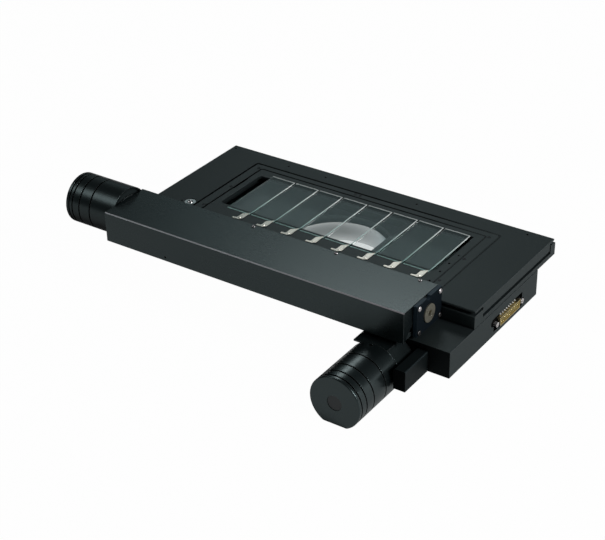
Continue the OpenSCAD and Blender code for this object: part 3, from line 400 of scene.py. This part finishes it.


# Clear slide: the ground edges are crisp lines, green at the front, with a painted highlight whitening them
# towards the back and along the right
def glassFinish(name):
    finish = startFinish(name)
    across = (finish.along(0) - slideGlass["left"]).repeated(slideGlass["pitch"])
    along = finish.along(1)
    right = across.above(slideGlass["width"] - slideGlass["rightLine"])
    left = across.below(slideGlass["leftLine"])
    back = along.above(slideGlass["back"] - slideGlass["backLine"])
    front = along.below(slideGlass["front"] + slideGlass["frontLine"])
    smear = finish.noise(slideGlass["smearScale"], slideGlass["smearDetail"])
    clear = finish.surface({
        "Base Color": slideGlass["face"], "IOR": slideGlass["bend"], "Transmission Weight": 1.0,
        "Roughness": slideGlass["haze"] + smear * slideGlass["smearRough"],
        "Coat Weight": 1.0, "Coat IOR": slideGlass["coatBend"],
        "Coat Roughness": slideGlass["coatRoughness"],
    })
    highlightRise = ((along - slideGlass["front"]) * slideGlass["highlightRate"]).clamped()
    ground = finish.noise(slideGlass["groundScale"], slideGlass["groundDetail"])
    tint = finish.blend(highlightRise, slideGlass["teal"], slideGlass["highlightWhite"])
    tint = finish.blend(ground * slideGlass["groundShare"], tint, slideGlass["groundTone"])
    groundEdge = finish.surface({
        "Base Color": tint, "Roughness": slideGlass["groundRoughness"], "IOR": slideGlass["groundBend"],
    })
    least, gain = slideGlass["rightShare"]
    rim = right * (least + highlightRise * gain) + left * slideGlass["leftShare"]
    rim = rim + back * slideGlass["backShare"] + front * slideGlass["frontShare"]
    return finish.out(finish.mix(rim.clamped(), clear, groundEdge))


# The light hole's wall is bare below its step: painted light and shade run from its bottom to its top, bright
# at the bottom with a dark band near the top, and give way to a flat painted grey towards the right
lightHole = {
    "radius": 50.7 * mm, "low": -18 * mm, "top": 20.3 * mm, "gloss": 0.26,
    "paintedLightTones": [(0.0, 0.80), (0.34, 0.70), (0.42, 0.56), (0.52, 0.44), (0.60, 0.30), (0.70, 0.19),
              (0.79, 0.18), (0.89, 0.26), (1.0, 0.46)],
    "sideFrom": -20 * mm, "sideRate": 21.0, "paintedSideTone": (0.42, 0.43, 0.44),
    "markScale": 1500, "markDetail": 2.0, "markStretch": (0.02, 0.02, 1), "markShare": 0.10,
    "markTone": (0.60, 0.60, 0.60),
}
# The connector recess, painted black as shade
connectorRecess = {"face": 181.3 * mm, "depth": 8 * mm, "front": -26.2 * mm, "back": 27.7 * mm,
                   "low": 3.4 * mm, "top": 18.2 * mm}
# A face is picked out by its outermost skin; the shares are painted shade on the base's and the bracket's
# fronts
frontShade = {"skin": 0.3 * mm, "baseShare": 0.82, "bracketShare": 0.85}


# The base: a black plate with a bare light hole, and painted shade in its connector recess and on its front
# face
def baseFinish(name, roughness, grain, ior):
    finish = startFinish(name)
    colour, rough, relief, paintedShade = plateLayers(finish, roughness, grain)
    bare = finish.reach().below(lightHole["radius"]) * finish.along(2).below(lightHole["top"])
    # Painted light and shade on the bare wall, by height and towards the right
    height = (finish.along(2) - lightHole["low"]) * (1 / (lightHole["top"] - lightHole["low"]))
    tone = finish.add("ShaderNodeValToRGB", {"stops": lightHole["paintedLightTones"]}, {"Fac": height})
    sideways = ((finish.along(0) - lightHole["sideFrom"]) * lightHole["sideRate"]).clamped()
    tone = finish.blend(sideways, tone, lightHole["paintedSideTone"])
    marks = finish.noise(lightHole["markScale"], lightHole["markDetail"], lightHole["markStretch"])
    tone = finish.blend(marks * lightHole["markShare"], tone, lightHole["markTone"])
    # Painted shade in the connector recess and on the front face
    recess = finish.within(0, connectorRecess["face"] - connectorRecess["depth"], connectorRecess["face"])
    recess = recess * finish.within(1, connectorRecess["front"], connectorRecess["back"])
    recess = recess * finish.within(2, connectorRecess["low"], connectorRecess["top"])
    front = finish.within(1, -far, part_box("base_plate")[0][1] + frontShade["skin"])
    paintedShade = paintedShade * (1.0 - bare) + recess + front * frontShade["baseShare"]
    colour = finish.blend(bare, colour, tone)
    return dyedAndShadedSurface(finish, paintedShade, colour, rough - bare * lightHole["gloss"], relief, ior, bare)


print("finishes")
plateBlack = anodisedFinish("blackAnodisedPlate", 0.52, 0.35, 1.50)
basePlateBlack = baseFinish("blackBasePlate", 0.52, 0.35, 1.50)
stageBlack = anodisedFinish("blackAnodisedStage", 0.52, 0.35, 1.50, gaps=["frame"])
holderBlack = anodisedFinish("blackAnodisedHolder", 0.48, 0.30, 1.50, gaps=["holder", "frame"], well=slideWell)
# A painted highlight runs as a pale line along the bar's long front edge
barLow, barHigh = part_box("x_drive_cover")
barHighlightLine = {"front": barLow[1], "top": barHigh[2], "width": 0.9 * mm, "tone": (0.34, 0.30, 0.325)}
coverBlack = anodisedFinish("blackAnodisedCover", 0.28, 0.12, 1.75, highlightLine=barHighlightLine, dye="coverDye",
                            streak=(0.06, 1, 1), edgeTone=(0.22, 0.23, 0.235))
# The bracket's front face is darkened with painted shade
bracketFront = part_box("y_bracket")[0][1] + frontShade["skin"]
bracketBlack = anodisedFinish("blackAnodisedBracket", 0.56, 0.30, 1.32, dye="coverDye",
                              edgeTone=(0.12, 0.17, 0.20),
                              shadeBands=[(1, -far, bracketFront, frontShade["bracketShare"])])
# The end plate's outer face is darkened with painted shade
endFace = {"from": 148.3 * mm, "share": 0.75}
endBlack = anodisedFinish("blackEndPlate", 0.50, 0.30, 1.40, dye="endDye", edgeTone=(0.08, 0.13, 0.18),
                          shadeBands=[(0, endFace["from"], far, endFace["share"])])
# Where each cover's outer end is, and how far in its ring grooves run
coverRings = {"xEnd": -240.4, "xRings": (4.2, 8.2, 17, 30), "yEnd": -189.5, "yRings": (4, 11.3, 22.4, 40.7)}
ringsX = [(coverRings["xEnd"] + d) * mm for d in coverRings["xRings"]]
ringsY = [(coverRings["yEnd"] + d) * mm for d in coverRings["yRings"]]
# A dot painted black as the shade of the Y cover's set-screw hole
setScrewHole = ((121.4 * mm, -132.1 * mm, 28.2 * mm), 1.3 * mm)
turnedX = turnedFinish("turnedBlackX", 0, 0.30, 1.75, ringsX, shadeUnder=50 * mm)
turnedY = turnedFinish("turnedBlackY", 1, 0.30, 1.75, ringsY, setScrewHole)
railSteelX = metalFinish("groundSteelX", (0.60, 0.61, 0.61), (0.42, 0.43, 0.44), 0.26, (0.05, 1, 1))
railSteelY = metalFinish("groundSteelY", (0.60, 0.61, 0.61), (0.42, 0.43, 0.44), 0.26, (1, 0.05, 1))
turnedSteel = metalFinish("turnedSteel", (0.62, 0.62, 0.62), (0.46, 0.46, 0.47), 0.24)
# The lower end screws fall into painted shade below 45 mm
endSteel = metalFinish("endScrewSteel", (0.92, 0.88, 0.88), (0.76, 0.73, 0.74), 0.48, shadeUnder=45 * mm)
coverSteel = metalFinish("coverScrewSteel", (0.56, 0.53, 0.54), (0.34, 0.32, 0.33), 0.24)
screwBlack = metalFinish("blackOxideScrew", (0.040, 0.042, 0.045), (0.012, 0.014, 0.016), 0.30)
jackSteel = metalFinish("jackScrewSteel", (0.96, 0.93, 0.92), (0.82, 0.80, 0.80), 0.46)
cageBrass = metalFinish("cageBrass", (0.66, 0.52, 0.26), (0.52, 0.39, 0.18), 0.32)
nutBronze = metalFinish("nutBronze", (0.60, 0.44, 0.22), (0.46, 0.32, 0.14), 0.34)
shellGold = metalFinish("goldShell", (0.96, 0.84, 0.50), (0.84, 0.68, 0.34), 0.34)
capNickel = metalFinish("agedNickel", (0.54, 0.52, 0.43), (0.28, 0.265, 0.215), 0.54, scale=500)
clipNickel = metalFinish("springNickel", (0.86, 0.84, 0.77), (0.68, 0.65, 0.57), 0.30, (1, 0.15, 1))
brightAlu = metalFinish("brightAluminium", (0.90, 0.90, 0.90), (0.72, 0.73, 0.74), 0.22)
threadX = threadFinish("threadSteelX", 0, 1.6 * mm)
threadY = threadFinish("threadSteelY", 1, 1.2 * mm)
headerTips = plasticFinish("headerPinTips", (0.50, 0.50, 0.47), (0.72, 0.71, 0.68), 0.32)
motorPaint = plasticFinish("motorPaint", (0.010, 0.010, 0.011), (0.020, 0.021, 0.022), 0.42)
badgeBlack = plasticFinish("badgeDisc", (0.030, 0.036, 0.038), (0.045, 0.052, 0.055), 0.40)
insertOlive = plasticFinish("mouldedInsert", (0.16, 0.13, 0.045), (0.26, 0.215, 0.080), 0.50)
glass = glassFinish("slideGlass")

# Which finish each node of the frame takes
nodeFinishes = {
    basePlateBlack: ["base_plate"],
    bracketBlack: ["y_bracket"],
    endBlack: ["x_end_plate"],
    stageBlack: ["stage_plate"],
    plateBlack: ["carriage_plate", "x_drive_housing", "x_nut_bracket", "y_motor_flange", "x_motor_flange"],
    coverBlack: ["x_drive_cover", "y_sheet_cover"],
    holderBlack: ["insert_frame", "slide_holder"],
    turnedX: ["x_motor_cover"],
    turnedY: ["y_motor_cover"],
    railSteelX: ["x_fixed_rail_front", "x_fixed_rail_back", "x_moving_rail_front", "x_moving_rail_back"],
    railSteelY: ["y_fixed_rail_left", "y_fixed_rail_right", "y_moving_rail_left", "y_moving_rail_right"],
    turnedSteel: ["y_bearings", "x_bearings", "x_coupling", "y_coupling"],
    jackSteel: ["jack_screws"],
    cageBrass: ["x_cages", "y_cages"],
    nutBronze: ["x_nut", "y_nut"],
    shellGold: ["connector_shell"],
    capNickel: ["x_bearing_cap"],
    brightAlu: ["round_fitting"],
    threadX: ["x_leadscrew"],
    threadY: ["y_leadscrew"],
    motorPaint: ["x_motor", "y_motor"],
    badgeBlack: ["x_cover_badge", "y_cover_badge"],
    insertOlive: ["connector_insert"],
    glass: [f"slide_{i}" for i in range(1, 9)],
    clipNickel: [f"clip_{i}" for i in range(1, 9)],
}
for finish, names in nodeFinishes.items():
    for name in names:
        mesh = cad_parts[name].data
        mesh.materials.clear()
        mesh.materials.append(finish)


# Turns a mesh under construction into a piece that rides on a body
def addPiece(name, bm, finish, body):
    bmesh.ops.recalc_face_normals(bm, faces=bm.faces)
    mesh = bpy.data.meshes.new(name)
    bm.to_mesh(mesh)
    bm.free()
    mesh.materials.append(finish)
    piece = bpy.data.objects.new(name, mesh)
    bpy.context.scene.collection.objects.link(piece)
    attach(piece, body)
    return piece


# The corners of a circle, and of a hexagon walked in as many steps, as places in millimetres
def circle(radius, z, sides):
    turns = [2 * math.pi * i / sides for i in range(sides)]
    return [(radius * math.cos(a), radius * math.sin(a), z) for a in turns]


def hexagon(radius, z, sides):
    facet = math.pi / 6
    corners = []
    for i in range(sides):
        a = 2 * math.pi * i / sides
        reach = radius * math.cos(facet) / math.cos((a + facet) % (2 * facet) - facet)
        corners.append((reach * math.cos(a), reach * math.sin(a), z))
    return corners


# Sets a stack of loops at a place, turned from +Z to an axis, and skins it with both ends closed
def addStack(bm, place, axis, stack):
    turn = Vector((0, 0, 1)).rotation_difference(Vector(axis)).to_matrix()
    loops = [[bm.verts.new((Vector(place) + turn @ Vector(c)) * mm) for c in corners] for corners in stack]
    for low, high in zip(loops, loops[1:]):
        for i in range(len(low)):
            j = (i + 1) % len(low)
            bm.faces.new((low[i], low[j], high[j], high[i]))
    bm.faces.new(list(reversed(loops[0])))
    bm.faces.new(loops[-1])


# The outside of a screw head as shares of its radius and height, from its foot to its top
headShapes = {"domed": [(1, 0), (1, 0.35), (0.90, 0.70), (0.66, 1)], "rimShare": 0.12, "sides": 32}


# Screw heads with a sunk hexagon, one at each place, which stand for a node's plain heads
def addScrews(name, replaced, finish, body, screw):
    r, h, sides = screw["r"], screw["h"], headShapes["sides"]
    rim = r * headShapes["rimShare"]
    outside = [(r, 0), (r, h - rim), (r - rim, h)]
    if screw["domed"]:
        outside = [(r * wide, h * high) for wide, high in headShapes["domed"]]
    stack = [circle(*ring, sides) for ring in outside]
    stack += [hexagon(screw["socket"], z, sides) for z in (h, h - screw["depth"])]
    bm = bmesh.new()
    for place in screw["places"]:
        addStack(bm, place, screw["axis"], stack)
    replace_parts(addPiece(name, bm, finish, body), replaced)


print("screws")
coverScrews = {"places": [(x, -64.4, 58.8) for x in (-47.7, 42.7, 128.6)], "axis": (0, 0, 1),
               "r": 1.9, "h": 1.3, "socket": 0.85, "depth": 0.7, "domed": True}
endScrews = {"places": [(148.55, y, z) for y in (-99.2, -64.8) for z in (31.8, 55.5)], "axis": (1, 0, 0),
             "r": 2.3, "h": 1.0, "socket": 1.15, "depth": 0.8, "domed": False}
frameScrews = {"places": [(x, y, 43.7) for x in (-130.7, 130) for y in (-32.6, 11.2, 57.9)]
               + [(x, 62.3, 43.7) for x in (-18.6, -13)], "axis": (0, 0, 1),
               "r": 1.8, "h": 0.25, "socket": 0.7, "depth": 0.2, "domed": False}
addScrews("coverSocketScrews", "x_drive_screws", coverSteel, "y_carriage", coverScrews)
addScrews("endSocketScrews", "x_drive_screws", endSteel, "y_carriage", endScrews)
addScrews("frameSocketScrews", "frame_screws", screwBlack, "x_stage", frameScrews)

# The domed stud in the middle of the round fitting: part of a ball, down to a spread in degrees
stud = {"place": (-145.4, -34.9, 43.3), "ball": 3.2, "spread": 65, "rings": 8, "sides": 32, "flat": 0.1}
foot = math.cos(math.radians(stud["spread"]))
tilts = [math.radians(stud["spread"] * k / stud["rings"]) for k in range(stud["rings"], 0, -1)]
bm = bmesh.new()
addStack(bm, stud["place"], (0, 0, 1), [
    circle(stud["ball"] * math.sin(t), stud["ball"] * (math.cos(t) - foot), stud["sides"]) for t in tilts])
studPiece = addPiece("fittingStud", bm, brightAlu, "x_stage")
for face in studPiece.data.polygons:
    face.use_smooth = face.normal.z > stud["flat"]


print("connector pins")
pinTip = [(1, 1), (0.7, 0.3), (0.25, 0)]  # radius, and distance below the tip, as shares of the radius


# A row of pins with rounded tips, pointing right
def addPins(bm, pins, count, z):
    r, length = pins["r"], pins["length"]
    stack = [circle(r, 0, pins["sides"])]
    stack += [circle(r * wide, length - r * under, pins["sides"]) for wide, under in pinTip]
    for i in range(count):
        y = pins["y"] + (i - (count - 1) / 2) * pins["pitch"]
        addStack(bm, (pins["x"], y, z), (1, 0, 0), stack)


plugPins = {"upper": 13, "lower": 12, "pitch": 2.77, "rowGap": 2.84, "x": 180.5, "y": 4.5, "z": 8.1,
            "r": 0.5, "length": 1.4, "sides": 12}
bm = bmesh.new()
addPins(bm, plugPins, plugPins["upper"], plugPins["z"] + plugPins["rowGap"] / 2)
addPins(bm, plugPins, plugPins["lower"], plugPins["z"] - plugPins["rowGap"] / 2)
addPiece("connectorPins", bm, shellGold, "base")

headerPins = {"count": 8, "pitch": 3.8, "x": 178.6, "y": 3.5, "z": 13.6, "r": 0.9, "length": 1.7, "sides": 8}
bm = bmesh.new()
addPins(bm, headerPins, headerPins["count"], headerPins["z"])
addPiece("headerPins", bm, headerTips, "base")

# Dust lip behind the light hole, closing the gap between the base and the lower plate
lip = {"x": 44, "front": 56.7, "back": 74, "low": 24.7, "top": 25.6, "chamfer": 0.3, "corner": 3}


def lipLoop(z, inset):
    x, front, back, cut = lip["x"] - inset, lip["front"], lip["back"] - inset, lip["corner"]
    shape = ((-x, front), (x, front), (x, back - cut), (x - cut, back), (cut - x, back), (-x, back - cut))
    return [(*corner, z) for corner in shape]


lipHeights = [(lip["low"], lip["chamfer"]), (lip["low"] + lip["chamfer"], 0),
              (lip["top"] - lip["chamfer"], 0), (lip["top"], lip["chamfer"])]
bm = bmesh.new()
addStack(bm, (0, 0, 0), (0, 0, 1), [lipLoop(*level) for level in lipHeights])
addPiece("dustLip", bm, bracketBlack, "base")

print("light, floor and camera")
studio = {
    "floorZ": -0.0179, "floorSize": 9.0, "floorColour": (0.72, 0.72, 0.72, 1), "floorSeen": 0.985,
    "floorGlossy": 0.10, "holeGlow": 1.0, "holeRadius": 0.060, "throughGlow": 0.72, "throughRadius": 0.085,
    "worldLight": 0.04, "worldTint": (0.86, 1.0, 1.02, 1),
}

# A pale floor that the camera sees white. Glossy and glass rays see it glow near the light hole alone: a
# painted glowing patch that lights the hole's wall in reflection and the view through the slides.
half = studio["floorSize"] / 2
floorMesh = bpy.data.meshes.new("floor")
floorMesh.from_pydata([(-half, -half, 0), (half, -half, 0), (half, half, 0), (-half, half, 0)],
                      [], [(0, 1, 2, 3)])
floor = bpy.data.objects.new("floor", floorMesh)
floor.location.z = studio["floorZ"]
bpy.context.scene.collection.objects.link(floor)
paint = startFinish("paleFloor")
seen = paint.add("ShaderNodeLightPath", output="Is Camera Ray")
glossy = paint.add("ShaderNodeLightPath", output="Is Glossy Ray")
through = paint.add("ShaderNodeLightPath", output="Is Transmission Ray")
lit = paint.add("ShaderNodeBsdfDiffuse", values={"Color": studio["floorColour"]})
glow = paint.add("ShaderNodeEmission", values={"Color": (1, 1, 1, 1), "Strength": 1.0})
reach = paint.reach()
shine = glossy * (reach.below(studio["holeRadius"]) * studio["holeGlow"] + studio["floorGlossy"])
shine = shine + through * reach.below(studio["throughRadius"]) * studio["throughGlow"]
shine = (shine + seen * studio["floorSeen"]).clamped()
floorMesh.materials.append(paint.out(paint.mix(shine, lit, glow)))

# A dim world that the camera sees white
sky = Finish(bpy.data.worlds.new("studio"))
seen = sky.add("ShaderNodeLightPath", output="Is Camera Ray")
strength = seen * (1.0 - studio["worldLight"]) + studio["worldLight"]
light = sky.add("ShaderNodeBackground", values={"Color": studio["worldTint"], "Strength": strength})
bpy.context.scene.world = sky.out(light, "ShaderNodeOutputWorld")

# Soft square panels aimed at the stage: bearing and height in degrees, size, power and colour
panelDistance = 2.0
panels = {
    "rightPanel": (0, 30, 0.5, 24.5, (1, 1, 1)),
    "backPanel": (120, 46, 0.5, 2.95, (1, 1, 1)),
    "backLowPanel": (120, 38, 1.3, 0.45, (0.80, 0.98, 1.0)),
    "leftPanel": (218, 42, 0.7, 2.9, (1, 1, 1)),
    "skyPanel": (123, 29, 0.8, 0.22, (0.62, 0.96, 1.0)),
    "backRightPanel": (44, 8, 0.6, 1.0, (1, 1, 1)),
}
for name, (bearing, height, size, power, colour) in panels.items():
    lamp = bpy.data.lights.new(name, "AREA")
    lamp.shape = "SQUARE"
    lamp.size = size
    lamp.energy = power
    lamp.color = colour
    panel = bpy.data.objects.new(name, lamp)
    a, e = math.radians(bearing), math.radians(height)
    panel.location = Vector((math.cos(a) * math.cos(e), math.sin(a) * math.cos(e), math.sin(e))) * panelDistance
    panel.rotation_euler = (-panel.location).to_track_quat("-Z", "Y").to_euler()
    bpy.context.scene.collection.objects.link(panel)

view = {"place": (0.6759, -1.0191, 0.7256), "turn": (59.184, 1.041, 34.440), "lens": 89.19, "sensor": 36,
        "nearest": 0.05, "farthest": 30}
lens = bpy.data.cameras.new("photoCamera")
lens.lens = view["lens"]
lens.sensor_width = view["sensor"]
lens.sensor_fit = "HORIZONTAL"
lens.clip_start = view["nearest"]
lens.clip_end = view["farthest"]
camera = bpy.data.objects.new("photoCamera", lens)
camera.location = view["place"]
camera.rotation_euler = [math.radians(a) for a in view["turn"]]
bpy.context.scene.collection.objects.link(camera)
bpy.context.scene.camera = camera
bpy.context.scene.view_settings.view_transform = "Standard"

print("done")
